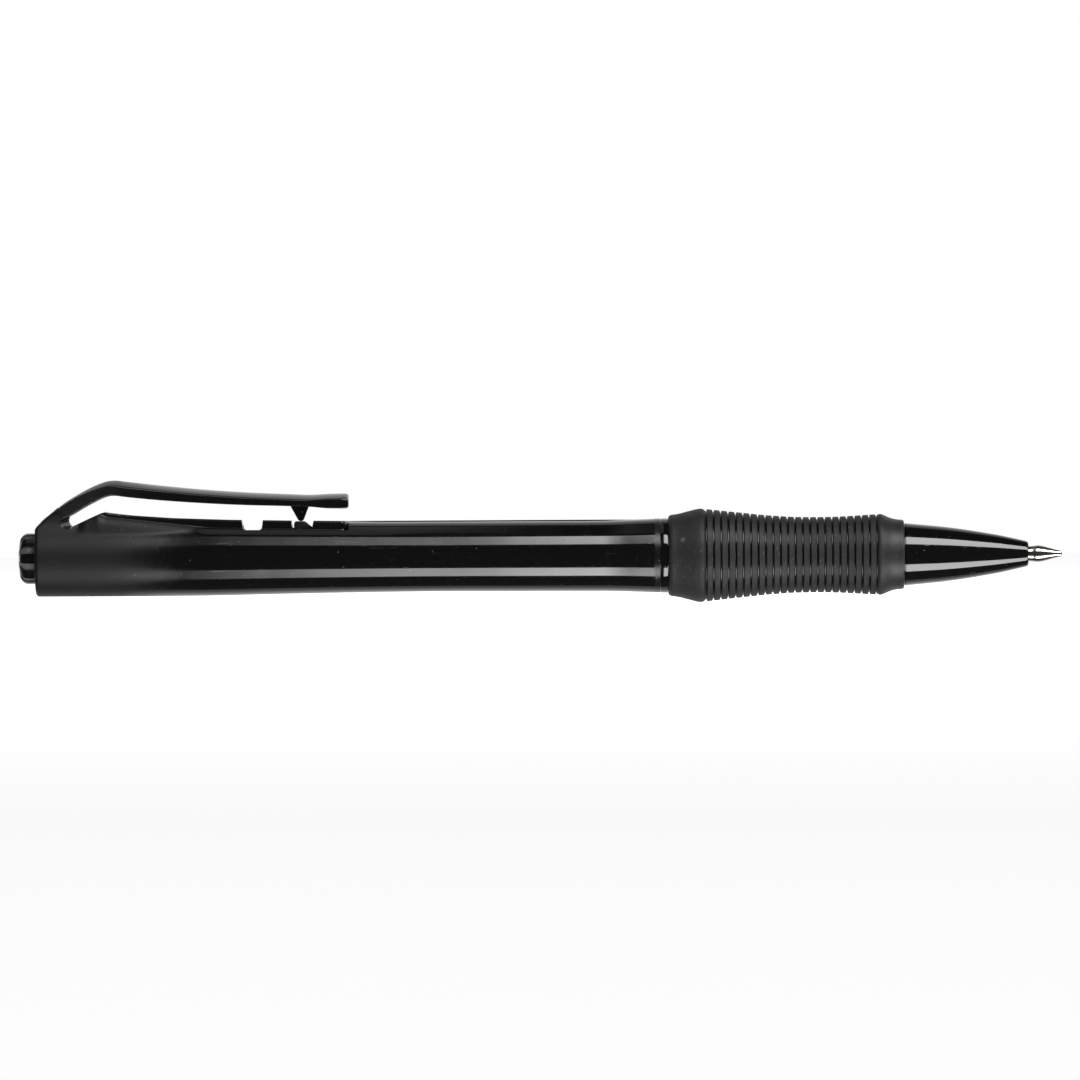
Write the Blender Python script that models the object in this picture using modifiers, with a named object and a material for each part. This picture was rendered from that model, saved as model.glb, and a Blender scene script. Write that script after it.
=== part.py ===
"""A retractable ballpoint pen with a clip release, standing with its tip out.

The pen lies along +X with its tip forward and its clip up (+Z). Sizes are in millimetres and become
metres in the helpers. A station is a distance along the pen from the end of its button, and a height is
a distance above the pen's axis.
"""

import math

import bmesh
import bpy
from mathutils import Vector

MM = 0.001
PEN_LENGTH = 145.0
AXIS_HEIGHT = 6.5  # the grip's widest ring touches the ground
STROKE = 7.0  # travel of the plunger, and the spacing of the two latch windows
RUN_GAP = 0.1  # between pieces that slide or turn in one another
REST_GAP = 0.3  # between pieces that stand face to face
ROUND_SIDES = 40
INNER_SIDES = 24

# Button
BUTTON_RADIUS = 3.54
BUTTON_END = 10.6
BUTTON_RIBS = 9
BUTTON_RIB_ANGLE = math.radians(24)
BUTTON_GROOVE_DEPTH = 0.29
BUTTON_FACE_RADIUS = 1.0
BUTTON_CORNER = 1.5
BUTTON_CROWN_RISE = 0.35
SPIGOT_RADIUS = 2.0
SPIGOT_START = 3.5

# Rear barrel
BARREL_START = 2.4
BARREL_END = 88.9
BARREL_BORE = 4.1
LIP_RADIUS = 3.75
LIP_END = 3.6
RAIL_WIDTH = 6.4
RAIL_FLOOR = 3.6
CHANNEL_WIDTH = 3.2
CHANNEL_ROOF = 4.5
CHANNEL_START = 22.0
WINDOW_START = 31.0
WINDOW_LENGTH = 3.3
WINDOW_FLOORS = (3.82, 4.06)

# Clip
CLIP_WIDTH = 6.0
CLIP_EDGE = 0.35
LIFT_PIVOT = (5.8, 6.2)
LIFT_KNUCKLE = 0.75
PRESS_PIVOT = (13.3, 9.72)
PRESS_KNUCKLE = 1.0
KNUCKLE_GAP = 0.15
FOOT_WIDTH = 2.4

# Plunger and latch
FLANGE_START = LIP_END + STROKE + REST_GAP
FLANGE_LENGTH = 2.0
STEM_RADIUS = 2.6
PLUNGER_END = 52.0
SOCKET_RADIUS = 3.0
SOCKET_START = 43.0
GUIDE_LENGTH = 2.0
LATCH_PIVOT = (26.0, 3.325)
LATCH_THICKNESS = 0.75
LATCH_WIDTH = 3.0
TOOTH_WIDTH = 2.4
TOOTH_TOP = 5.03
TROUGH_HEIGHT = 1.5

# Refill
REFILL_START = 46.9
TUBE_RADIUS = 1.55
TUBE_BORE = 1.1
TUBE_END = 114.0
HOLDER_RADIUS = 1.5
HOLDER_END = 130.5
SPRING_FLANGE = 116.2
SPRING_FLANGE_RADIUS = 2.3
BALL_RADIUS = 0.35
BALL_STATION = PEN_LENGTH - BALL_RADIUS

# Return spring
WIRE_RADIUS = 0.2
SPRING_RADIUS = 2.1
SPRING_START = 117.7
SPRING_END = 130.6
SPRING_TURNS = 11
SPRING_STEPS = 14  # points a turn

# Front section and grip
TENON_START = 81.2
TENON_RADIUS = BARREL_BORE - RUN_GAP
COLLAR_START = BARREL_END + REST_GAP
COLLAR_END = 90.2
COLLAR_RADIUS = 5.18
FRONT_BORE = 2.5
CORE_RADIUS = 4.15
NOSE_START = 123.3
NOSE_END = 140.3
SPRING_SEAT = 131.0
MOUTH_RADIUS = 1.25
MOUTH_START = 137.0
GRIP_START = COLLAR_END + REST_GAP
GRIP_END = 123.0
RIB_COUNT = 23
RIB_FIRST = 96.0
RIB_PITCH = 1.03
RIB_DEPTH = 0.37

BLACK_GLOSS = ("black_gloss", (0.012, 0.012, 0.012), 0.15, 0.0)
BLACK_INNER = ("black_inner", (0.016, 0.016, 0.017), 0.45, 0.0)
BLACK_RUBBER = ("black_rubber", (0.030, 0.032, 0.034), 0.7, 0.0)
STEEL = ("steel", (0.62, 0.61, 0.58), 0.25, 1.0)
CLEAR_TUBE = ("clear_tube", (0.75, 0.76, 0.76), 0.3, 0.0)
BRASS = ("brass", (0.72, 0.55, 0.28), 0.3, 1.0)
INK = ("ink", (0.01, 0.01, 0.02), 0.3, 0.0)


def clear_scene():
    for obj in list(bpy.data.objects):
        bpy.data.objects.remove(obj, do_unlink=True)


def new_collection(name):
    collection = bpy.data.collections.new(name)
    bpy.context.scene.collection.children.link(collection)
    return collection


def new_axis(name, parent, station, height):
    """An empty on a joint's axis. Its children are built in the pen's own stations and heights."""
    axis = bpy.data.objects.new(name, None)
    axis.empty_display_size = 2 * MM
    axis.location = (station * MM, 0, height * MM)
    axis.parent = parent
    pen.objects.link(axis)
    return axis


def finish(obj, look, axis):
    """Gives a sub-part its material and hangs it on its joint's axis."""
    name, colour, roughness, metallic = look
    material = bpy.data.materials.new(obj.name + "_" + name)
    material.use_nodes = True
    shader = material.node_tree.nodes["Principled BSDF"]
    shader.inputs["Base Color"].default_value = (*colour, 1)
    shader.inputs["Roughness"].default_value = roughness
    shader.inputs["Metallic"].default_value = metallic
    obj.data.materials.append(material)
    hang(obj, axis)
    return obj


def hang(obj, axis):
    offset = Vector((0, 0, 0))
    above = axis
    while above is not pen_axis:
        offset += above.location
        above = above.parent
    obj.parent = axis
    obj.location = obj.location - offset


def mesh_object(name, mesh, collection):
    obj = bpy.data.objects.new(name, mesh)
    collection.objects.link(obj)
    return obj


def cutter(obj):
    """Keeps a cutting shape out of the part."""
    pen.objects.unlink(obj)
    cutters.objects.link(obj)
    obj.hide_render = True
    obj.display_type = "WIRE"
    obj.parent = pen_axis
    return obj


def boolean(obj, other, operation="DIFFERENCE"):
    modifier = obj.modifiers.new(other.name, "BOOLEAN")
    modifier.operation = operation
    modifier.object = other
    modifier.solver = "EXACT"


def turned(name, outline, sides=ROUND_SIDES, bored=True):
    """A shape turned about the pen's axis. The outline's (station, radius) pairs run back along its
    outer side, from the tip's end, and then forward along its bore if it has one."""
    mesh = bpy.data.meshes.new(name)
    points = [(station * MM, radius * MM, 0) for station, radius in outline]
    edges = [(i, i + 1) for i in range(len(points) - 1)]
    if bored:
        edges.append((len(points) - 1, 0))
    mesh.from_pydata(points, edges, [])
    obj = mesh_object(name, mesh, pen)
    screw = obj.modifiers.new("Turn", "SCREW")
    screw.axis = "X"
    screw.steps = sides
    screw.render_steps = sides
    screw.use_merge_vertices = True
    screw.merge_threshold = 1e-6
    screw.use_smooth_shade = True
    return obj


def rod(name, start, end, radius, sides=INNER_SIDES):
    return turned(name, [(end, 0), (end, radius), (start, radius), (start, 0)], sides, bored=False)


def meshed(curve_object):
    """Swaps a curve for the mesh that it draws, so that modifiers and Booleans can work on it."""
    bpy.context.view_layer.update()
    graph = bpy.context.evaluated_depsgraph_get()
    mesh = bpy.data.meshes.new_from_object(curve_object.evaluated_get(graph))
    form = bmesh.new()
    form.from_mesh(mesh)
    bmesh.ops.remove_doubles(form, verts=form.verts, dist=1e-6)
    bmesh.ops.dissolve_limit(form, angle_limit=1e-4, verts=form.verts, edges=form.edges)
    form.to_mesh(mesh)
    form.free()
    name = curve_object.name
    world = curve_object.matrix_world.copy()
    bpy.data.objects.remove(curve_object, do_unlink=True)
    obj = mesh_object(name, mesh, pen)
    obj.matrix_world = world
    return obj


def flat_curve(name, outline, half_thickness):
    curve = bpy.data.curves.new(name, "CURVE")
    curve.dimensions = "2D"
    curve.fill_mode = "BOTH"
    curve.extrude = half_thickness * MM
    spline = curve.splines.new("POLY")
    spline.points.add(len(outline) - 1)
    for point, (across, up) in zip(spline.points, outline):
        point.co = (across * MM, up * MM, 0, 1)
    spline.use_cyclic_u = True
    obj = bpy.data.objects.new(name, curve)
    pen.objects.link(obj)
    return obj


def plate(name, outline, width):
    """A side outline of (station, height) pairs, drawn out to a width across the pen."""
    obj = flat_curve(name, outline, width / 2)
    obj.rotation_euler = (math.pi / 2, 0, 0)
    return meshed(obj)


def bevelled(obj, size, segments=2):
    bevel = obj.modifiers.new("Edges", "BEVEL")
    bevel.width = size * MM
    bevel.segments = segments
    bevel.limit_method = "ANGLE"
    bevel.angle_limit = math.radians(50)
    return obj


def arc(centre, radius, start_deg, end_deg, steps=8):
    """Points on a circle, from one direction to another, both counted from straight forward."""
    directions = [math.radians(start_deg + (end_deg - start_deg) * i / steps) for i in range(steps + 1)]
    return [(centre[0] + radius * math.cos(a), centre[1] + radius * math.sin(a)) for a in directions]


def pivot_cut(name, pivot, radius):
    """The round seat of a clip knuckle, as wide as the rail and more."""
    return cutter(plate(name, arc(pivot, radius, 0, 345, 23), RAIL_WIDTH + 2))


def dome(corner, recess):
    """The button's crown, from its shoulder back to the axis, set in by a recess all over."""
    shoulder = BUTTON_CROWN_RISE + corner
    radius = BUTTON_RADIUS - recess
    round_corner = [
        (shoulder - corner * math.sin(a), radius - corner * (1 - math.cos(a)))
        for a in (math.radians(step) for step in range(0, 91, 15))
    ]
    face = [(recess * 0.6, BUTTON_FACE_RADIUS), (recess * 0.6, 0)]
    return round_corner + face


def star_outline():
    """The button's end view: a rib points at each side and the grooves between are cut to the core."""
    points = []
    for rib in range(BUTTON_RIBS):
        middle = 2 * math.pi * rib / BUTTON_RIBS
        half_groove = math.pi / BUTTON_RIBS - BUTTON_RIB_ANGLE / 2
        turns = (
            (BUTTON_RADIUS + 1, -BUTTON_RIB_ANGLE / 2),
            (BUTTON_RADIUS + 1, BUTTON_RIB_ANGLE / 2),
            (SPIGOT_RADIUS + 0.5, BUTTON_RIB_ANGLE / 2),
            (SPIGOT_RADIUS + 0.5, BUTTON_RIB_ANGLE / 2 + 2 * half_groove),
        )
        points += [(r * math.cos(middle + a), r * math.sin(middle + a)) for r, a in turns]
    return points


def make_button():
    """A fluted cap with a socket for the plunger's spigot."""
    core = [(BUTTON_END, 0), (BUTTON_END, BUTTON_RADIUS - BUTTON_GROOVE_DEPTH)]
    core += dome(BUTTON_CORNER, BUTTON_GROOVE_DEPTH)
    button = turned("push_button", core, bored=False)
    skin = [(BUTTON_END, 0), (BUTTON_END, BUTTON_RADIUS)] + dome(BUTTON_CORNER, 0)
    ribs = cutter(turned("button_rib_skin", skin, bored=False))
    star = flat_curve("button_star", star_outline(), BUTTON_END)
    star.rotation_euler = (-math.pi / 2, 0, -math.pi / 2)
    boolean(ribs, cutter(meshed(star)), "INTERSECT")
    boolean(button, ribs, "UNION")
    socket = cutter(rod("button_socket", SPIGOT_START - REST_GAP, BUTTON_END + 1, SPIGOT_RADIUS + RUN_GAP))
    boolean(button, socket)
    return finish(button, BLACK_GLOSS, plunger_axis)


def barrel_outline():
    """The barrel's outside, from its front end back: a gentle waist, a full rear and a rounded corner."""
    corner = arc((BARREL_START + 0.5, 4.8), 0.5, 90, 180, 4)
    waist = [(88.6, 5.14), (85.0, 5.0), (80.0, 4.9), (69.0, 4.86), (57.0, 4.84), (46.0, 4.94), (36.0, 5.12)]
    return [(BARREL_END, 0), (BARREL_END, 4.95)] + waist + [(26.0, 5.3)] + corner + [(BARREL_START, 0)]


def rail_outline():
    """The fin that the clip grows from and the rail under the clip, with the slot between them."""
    fin = [(2.55, RAIL_FLOOR), (2.6, 4.35), (3.5, 5.34), (4.6, 6.28), (5.3, 6.87), LIFT_PIVOT]
    slot_end = arc((6.9, 5.05), 0.8, 125, 300, 6)
    crest = [(8.0, 4.55), (9.9, 5.5), (11.3, 6.15), (12.1, 6.4), (13.0, 6.25)]
    rail = [(16.0, 5.94), (21.6, 5.55), (29.4, 5.28), (39.4, 5.11), (45.4, 5.03), (45.9, 4.7)]
    return fin + slot_end + crest + rail + [(45.9, RAIL_FLOOR)]


def window_cut(name, start, floor):
    """A window through the rail, with rounded lower corners and a little draft."""
    end = start + WINDOW_LENGTH
    radius = 0.45
    rear = arc((start + 0.1 + radius, floor + radius), radius, 180, 270, 4)
    front = arc((end - 0.1 - radius, floor + radius), radius, 270, 360, 4)
    return cutter(plate(name, rear + front + [(end, 7.0), (start, 7.0)], RAIL_WIDTH + 1))


def make_rear_barrel():
    """A straight-bored tube with the latch rail along its top."""
    barrel = turned("rear_barrel", barrel_outline(), bored=False)
    boolean(barrel, cutter(bevelled(plate("rail", rail_outline(), RAIL_WIDTH), CLIP_EDGE, 1)), "UNION")
    bore = [
        (BARREL_END + 1, 0),
        (BARREL_END + 1, BARREL_BORE),
        (LIP_END, BARREL_BORE),
        (LIP_END, LIP_RADIUS),
        (BARREL_START - 1, LIP_RADIUS),
        (BARREL_START - 1, 0),
    ]
    boolean(barrel, cutter(turned("bore", bore, bored=False)))
    channel_end = WINDOW_START + STROKE + WINDOW_LENGTH + 0.5
    channel = [(CHANNEL_START, 3.0), (channel_end, 3.0), (channel_end, CHANNEL_ROOF), (CHANNEL_START, CHANNEL_ROOF)]
    boolean(barrel, cutter(plate("latch_channel", channel, CHANNEL_WIDTH)))
    for number, floor in enumerate(WINDOW_FLOORS):
        boolean(barrel, window_cut(f"window_{number + 1}", WINDOW_START + number * STROKE, floor))
    boolean(barrel, pivot_cut("lift_seat", LIFT_PIVOT, LIFT_KNUCKLE + KNUCKLE_GAP))
    return finish(barrel, BLACK_GLOSS, pen_axis)


def make_clip_root():
    """The sloping part of the clip, from the fin up to the bend."""
    knuckle = arc(LIFT_PIVOT, LIFT_KNUCKLE, 310, 130, 10)
    outer = [(6.8, 8.0), (8.0, 8.75), (9.4, 9.5), (11.3, 10.35), (12.4, 10.7), (13.0, 10.8)]
    inner = [(13.0, 8.62), (12.5, 8.6), (11.5, 8.27), (9.95, 7.5), (8.35, 6.57)]
    root = bevelled(plate("clip_root", knuckle + outer + inner, CLIP_WIDTH), CLIP_EDGE)
    boolean(root, pivot_cut("press_seat", PRESS_PIVOT, PRESS_KNUCKLE + KNUCKLE_GAP))
    return finish(root, BLACK_GLOSS, lift_axis)


def make_clip_arm():
    """The long arm of the clip, with its thicker end pad and the foot that presses the latch."""
    knuckle = arc(PRESS_PIVOT, PRESS_KNUCKLE, 265, 85, 10)
    top = [(18.2, 10.26), (24.9, 9.58), (31.6, 9.09), (38.3, 8.78), (41.2, 8.7), (42.0, 8.85), (45.0, 8.85)]
    end = [(45.7, 8.6), (45.9, 8.2), (45.9, 7.4), (45.7, 6.95), (45.1, 6.75)]
    under = [(41.8, 6.78), (41.0, 7.0), (37.1, 7.13), (31.6, 7.28), (24.9, 7.63), (18.2, 8.15)]
    arm = bevelled(plate("clip_arm", knuckle + top + end + under, CLIP_WIDTH), CLIP_EDGE)
    foot = [(37.8, 7.5), (37.85, 7.05), (38.9, 5.1), (39.6, 5.1), (40.35, 7.05), (40.4, 7.5)]
    boolean(arm, cutter(plate("clip_foot", foot, FOOT_WIDTH)), "UNION")
    return finish(arm, BLACK_GLOSS, press_axis)


def make_plunger():
    """The slider that joins the button to the refill and carries the latch."""
    flange_end = FLANGE_START + FLANGE_LENGTH
    slide_radius = BARREL_BORE - RUN_GAP
    outline = [
        (PLUNGER_END, TUBE_RADIUS + RUN_GAP),
        (PLUNGER_END, slide_radius),
        (PLUNGER_END - GUIDE_LENGTH, slide_radius),
        (PLUNGER_END - GUIDE_LENGTH, SOCKET_RADIUS),
        (SOCKET_START, SOCKET_RADIUS),
        (SOCKET_START, STEM_RADIUS),
        (flange_end, STEM_RADIUS),
        (flange_end, slide_radius),
        (FLANGE_START, slide_radius),
        (FLANGE_START, SPIGOT_RADIUS),
        (SPIGOT_START, SPIGOT_RADIUS),
        (SPIGOT_START, 0),
        (REFILL_START - REST_GAP, 0),
        (REFILL_START - REST_GAP, TUBE_RADIUS + RUN_GAP),
    ]
    plunger = turned("plunger", outline)
    trough_end = SOCKET_START - 0.5
    trough_start = LATCH_PIVOT[0] + 1.5
    trough = [(trough_start, TROUGH_HEIGHT), (trough_end, TROUGH_HEIGHT), (trough_end, 4), (trough_start, 4)]
    boolean(plunger, cutter(plate("latch_trough", trough, 2 * SOCKET_RADIUS)))
    post_end = LATCH_PIVOT[0] - LATCH_THICKNESS / 2 - KNUCKLE_GAP
    post_top = LATCH_PIVOT[1] + LATCH_THICKNESS / 2
    post = [(post_end - 4, 1.0), (post_end, 1.0), (post_end, post_top), (post_end - 4, post_top)]
    boolean(plunger, cutter(plate("latch_post", post, LATCH_WIDTH)), "UNION")
    return finish(plunger, BLACK_INNER, plunger_axis)


def make_latch_finger():
    """A springy finger whose tooth stands up through the front window."""
    half = LATCH_THICKNESS / 2
    top = LATCH_PIVOT[1] + half
    end = 41.2
    finger_outline = arc(LATCH_PIVOT, half, 90, 270) + [(end, top - LATCH_THICKNESS), (end, top)]
    finger = plate("latch_finger", finger_outline, LATCH_WIDTH)
    tooth = [(38.3, top - 0.4), (40.95, top - 0.4), (40.95, 4.1), (39.8, TOOTH_TOP), (38.5, TOOTH_TOP), (38.3, 4.8)]
    boolean(finger, cutter(plate("latch_tooth", tooth, TOOTH_WIDTH)), "UNION")
    return finish(finger, BLACK_INNER, latch_axis)


def make_refill():
    """A clear tube of ink closed by a brass holder, with the steel point pressed into it."""
    tube = [(TUBE_END, TUBE_BORE), (TUBE_END, TUBE_RADIUS), (REFILL_START, TUBE_RADIUS), (REFILL_START, TUBE_BORE)]
    finish(turned("refill_tube", tube, INNER_SIDES), CLEAR_TUBE, plunger_axis)
    stub_start = TUBE_END - 5
    ink = rod("ink_column", REFILL_START + 9, stub_start - REST_GAP, TUBE_BORE - RUN_GAP)
    finish(ink, INK, plunger_axis)
    channel = 0.4
    point_socket = 0.85
    point_start = HOLDER_END - 6
    holder = [
        (HOLDER_END, point_socket),
        (HOLDER_END, HOLDER_RADIUS - 0.2),
        (HOLDER_END - 0.5, HOLDER_RADIUS),
        (SPRING_FLANGE + 1, HOLDER_RADIUS),
        (SPRING_FLANGE + 1, SPRING_FLANGE_RADIUS),
        (SPRING_FLANGE, SPRING_FLANGE_RADIUS),
        (SPRING_FLANGE, HOLDER_RADIUS),
        (TUBE_END + REST_GAP, HOLDER_RADIUS),
        (TUBE_END + REST_GAP, TUBE_BORE - RUN_GAP),
        (stub_start, TUBE_BORE - RUN_GAP),
        (stub_start, channel),
        (point_start - REST_GAP, channel),
        (point_start - REST_GAP, point_socket),
    ]
    finish(turned("tip_holder", holder, INNER_SIDES), BRASS, plunger_axis)
    make_nib(point_start, point_socket - RUN_GAP)
    make_ball()


def make_nib(stub_start, stub_radius):
    """The steel writing point: a straight body, a small swelling and the cone that holds the ball."""
    rim = BALL_STATION + 0.16
    seat = BALL_STATION - BALL_RADIUS - 0.05
    channel = 0.25
    outline = [
        (rim, BALL_RADIUS + 0.03),
        (rim, 0.42),
        (BALL_STATION - 0.2, 0.47),
        (142.3, 1.1),
        (141.8, 1.16),
        (141.3, 1.16),
        (140.6, 1.05),
        (HOLDER_END + 0.2, 1.05),
        (HOLDER_END + 0.2, stub_radius),
        (stub_start, stub_radius),
        (stub_start, channel),
        (seat, channel),
        (seat, BALL_RADIUS + 0.03),
    ]
    return finish(turned("nib", outline, INNER_SIDES), STEEL, plunger_axis)


def make_ball():
    mesh = bpy.data.meshes.new("writing_ball")
    form = bmesh.new()
    bmesh.ops.create_uvsphere(form, u_segments=16, v_segments=10, radius=BALL_RADIUS * MM)
    form.to_mesh(mesh)
    form.free()
    ball = mesh_object("writing_ball", mesh, pen)
    ball.location = (BALL_STATION * MM, 0, 0)
    return finish(ball, STEEL, ball_axis)


def make_return_spring():
    """A coil between the refill's flange and the seat in the nose."""
    curve = bpy.data.curves.new("return_spring", "CURVE")
    curve.dimensions = "3D"
    curve.bevel_depth = WIRE_RADIUS * MM
    curve.bevel_resolution = 2
    curve.use_fill_caps = True
    count = SPRING_TURNS * SPRING_STEPS + 1
    spline = curve.splines.new("POLY")
    spline.points.add(count - 1)
    for i, point in enumerate(spline.points):
        turn = 2 * math.pi * i / SPRING_STEPS
        station = SPRING_START + (SPRING_END - SPRING_START) * i / (count - 1)
        point.co = (
            station * MM,
            SPRING_RADIUS * math.cos(turn) * MM,
            SPRING_RADIUS * math.sin(turn) * MM,
            1,
        )
    spring = bpy.data.objects.new("return_spring", curve)
    pen.objects.link(spring)
    return finish(spring, STEEL, pen_axis)


def make_front_section():
    """The screwed-in front: a tenon, a collar, the core under the grip and the nose cone."""
    nose = [(139.9, 1.8), (138.3, 2.16), (136.7, 2.56), (134.0, 3.02), (130.8, 3.53), (128.0, 3.88), (125.5, 4.13)]
    outline = [(NOSE_END, MOUTH_RADIUS), (NOSE_END, 1.7)] + nose
    outline += [
        (NOSE_START, 4.34),
        (NOSE_START, CORE_RADIUS),
        (COLLAR_END, CORE_RADIUS),
        (COLLAR_END, COLLAR_RADIUS),
        (COLLAR_START, COLLAR_RADIUS),
        (COLLAR_START, TENON_RADIUS),
        (TENON_START + 0.4, TENON_RADIUS),
        (TENON_START, TENON_RADIUS - 0.4),
        (TENON_START, FRONT_BORE),
        (SPRING_SEAT, FRONT_BORE),
        (SPRING_SEAT, MOUTH_RADIUS + 0.5),
        (MOUTH_START, MOUTH_RADIUS),
    ]
    return finish(turned("front_section", outline), BLACK_GLOSS, front_axis)


def rib_crest_radius(station):
    """The radius of the grip's crests: a full shoulder, a waist for the fingers and a slight rise."""
    waist = 110.8
    fall, rise = 0.0056, 0.0058
    return 5.22 + (fall if station < waist else rise) * (station - waist) ** 2


def make_rubber_grip():
    """A ribbed sleeve on the front section's core."""
    front = [(GRIP_END, 4.82), (122.0, 5.0), (120.8, 5.35), (120.0, 5.66), (119.6, 5.66)]
    ribs = []
    for rib in reversed(range(RIB_COUNT)):
        crest = RIB_FIRST + rib * RIB_PITCH
        groove = crest + RIB_PITCH / 2
        ribs += [(groove, rib_crest_radius(groove) - RIB_DEPTH), (crest, rib_crest_radius(crest))]
    shoulder = [(95.4, 6.1), (94.9, AXIS_HEIGHT), (94.3, AXIS_HEIGHT - 0.03), (90.9, 5.68), (GRIP_START, 5.4)]
    bore = [(GRIP_START, CORE_RADIUS + RUN_GAP), (GRIP_END, CORE_RADIUS + RUN_GAP)]
    return finish(turned("rubber_grip", front + ribs + shoulder + bore), BLACK_RUBBER, front_axis)


clear_scene()
pen = new_collection("retractable_pen")
cutters = new_collection("cutters")
cutters.hide_render = True

pen_axis = bpy.data.objects.new("pen_axis", None)
pen_axis.location = (-PEN_LENGTH / 2 * MM, 0, AXIS_HEIGHT * MM)
pen.objects.link(pen_axis)
bpy.context.view_layer.update()
plunger_axis = new_axis("plunger_slide", pen_axis, FLANGE_START, 0)
latch_axis = new_axis("latch_flex", plunger_axis, LATCH_PIVOT[0] - FLANGE_START, LATCH_PIVOT[1])
ball_axis = new_axis("ball_roll", plunger_axis, BALL_STATION - FLANGE_START, 0)
lift_axis = new_axis("clip_lift", pen_axis, *LIFT_PIVOT)
press_axis = new_axis("clip_press", lift_axis, PRESS_PIVOT[0] - LIFT_PIVOT[0], PRESS_PIVOT[1] - LIFT_PIVOT[1])
front_axis = new_axis("front_unscrew", pen_axis, COLLAR_START, 0)

make_button()
make_rear_barrel()
make_clip_root()
make_clip_arm()
make_plunger()
make_latch_finger()
make_refill()
make_return_spring()
make_front_section()
make_rubber_grip()
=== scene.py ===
"""The looks of the retractable pen: fine shells, moulded and rubber finishes, studio light and camera.

Sizes are millimetres. A station is a distance along the pen from the end of its button, and a height is
a distance above the pen's axis. place() turns both into the frame's metres.
"""

import math

import bmesh
import bpy
import numpy as np
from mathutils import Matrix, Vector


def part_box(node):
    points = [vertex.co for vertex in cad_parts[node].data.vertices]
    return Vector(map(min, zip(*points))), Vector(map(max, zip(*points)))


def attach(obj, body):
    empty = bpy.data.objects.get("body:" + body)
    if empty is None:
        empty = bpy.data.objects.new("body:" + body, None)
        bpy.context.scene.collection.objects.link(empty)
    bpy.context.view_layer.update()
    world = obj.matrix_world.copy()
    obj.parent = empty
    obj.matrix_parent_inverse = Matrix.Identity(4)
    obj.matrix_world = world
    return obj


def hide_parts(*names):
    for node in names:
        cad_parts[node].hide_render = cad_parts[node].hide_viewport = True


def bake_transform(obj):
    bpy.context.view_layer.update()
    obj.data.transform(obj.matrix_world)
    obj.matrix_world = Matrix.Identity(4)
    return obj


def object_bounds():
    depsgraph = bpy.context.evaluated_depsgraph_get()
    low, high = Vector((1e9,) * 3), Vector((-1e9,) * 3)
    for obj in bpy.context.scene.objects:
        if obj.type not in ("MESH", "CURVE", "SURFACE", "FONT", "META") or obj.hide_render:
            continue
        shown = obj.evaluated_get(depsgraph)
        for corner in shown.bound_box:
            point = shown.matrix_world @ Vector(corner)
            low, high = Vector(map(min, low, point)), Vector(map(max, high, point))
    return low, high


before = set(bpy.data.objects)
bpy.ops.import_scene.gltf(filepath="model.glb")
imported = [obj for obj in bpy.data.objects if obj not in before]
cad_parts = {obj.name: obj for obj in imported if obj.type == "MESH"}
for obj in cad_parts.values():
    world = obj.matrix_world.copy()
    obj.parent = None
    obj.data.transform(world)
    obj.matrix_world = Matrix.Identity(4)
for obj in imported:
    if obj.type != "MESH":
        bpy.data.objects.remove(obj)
cad_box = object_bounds()

MM = 0.001
REAR = cad_box[0].x
BALL_LOW, BALL_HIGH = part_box("writing_ball")
AXIS = (BALL_LOW.z + BALL_HIGH.z) / 2
BALL_STATION = ((BALL_LOW.x + BALL_HIGH.x) / 2 - REAR) / MM
BALL_RADIUS = (BALL_HIGH.z - BALL_LOW.z) / 2 / MM

FINE_SIDES = 192
SMALL_SIDES = 64
SHARP_ANGLE = math.radians(32)
BEVEL_ANGLE = math.radians(40)

# Button
BUTTON_RADIUS = 3.54
BUTTON_CORNER = 1.2
BUTTON_SHOULDER = 1.4
BUTTON_FACE = [(0.0, 0.0), (0.0, 0.8), (0.03, 1.3), (0.1, 1.9)]
BUTTON_END = 10.6
BUTTON_RIBS = 9
GROOVE_DEPTH = 0.3
GROOVE_HALF_ANGLE = 8.0
GROOVE_BLEND = 1.2  # degrees, half of what a groove's wall takes up
BUTTON_SOCKET = (3.2, 2.1)

# Barrel and rail
BARREL_CORNER = ((2.9, 4.8), 0.5)
BARREL_OUTLINE = [(2.9, 5.3), (15.0, 5.31), (26.0, 5.28), (36.0, 5.1), (46.0, 4.94), (57.0, 4.84),
                  (69.0, 4.86), (80.0, 4.9), (82.0, 4.912), (83.5, 4.945), (86.0, 5.037), (89.1, 5.152)]
BARREL_FRONT = [(89.15, 5.12), (89.17, 5.05)]
BARREL_BORE = [(89.17, 4.1), (3.6, 4.1), (3.6, 3.75), (2.5, 3.75), (2.4, 3.85)]
BARREL_BAND = (88.4, 89.1)  # a slightly matt band round the barrel's front end
RAIL_HALF_WIDTH = 3.2
RAIL_NOSE = (44.9, 45.9)
RAIL_SHARPNESS = [(8.0, 9.0), (12.0, 24.0)]  # how square the rail is in end view, by station
FILLETS = [(7.0, 1.5), (10.0, 0.5), (14.0, 0.06)]  # the rounding at the rail's foot, by station
FIN_END = 8.0
WALL_START = 11.0
POLISH_RISE = 0.12  # the rail's walls turn from satin to gloss over this height
POLISH_RUN = 0.8  # and over this length from their start
WALL_FOOT = [(8.0, 4.9), (9.9, 5.5), (11.2, 6.05), (12.2, 5.7), (27.6, 4.05), (50.0, 3.7)]
SHOULDER_ANGLE = math.radians(54)  # how far round the barrel the rail's shoulder reaches
RAIL_TOP = [(2.4, 3.98), (2.6, 4.35), (3.5, 5.34), (4.6, 6.28), (5.7, 7.2), (6.8, 8.0), (8.2, 8.8),
            (8.25, 4.7), (9.9, 5.5), (11.3, 6.12), (12.1, 6.4), (13.0, 6.27), (16.0, 5.94), (21.6, 5.55),
            (29.4, 5.28), (39.4, 5.11), (45.9, 5.03)]
CHANNEL = [(22.0, 3.0), (41.8, 3.0), (41.8, 4.5), (22.0, 4.5)]
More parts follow.
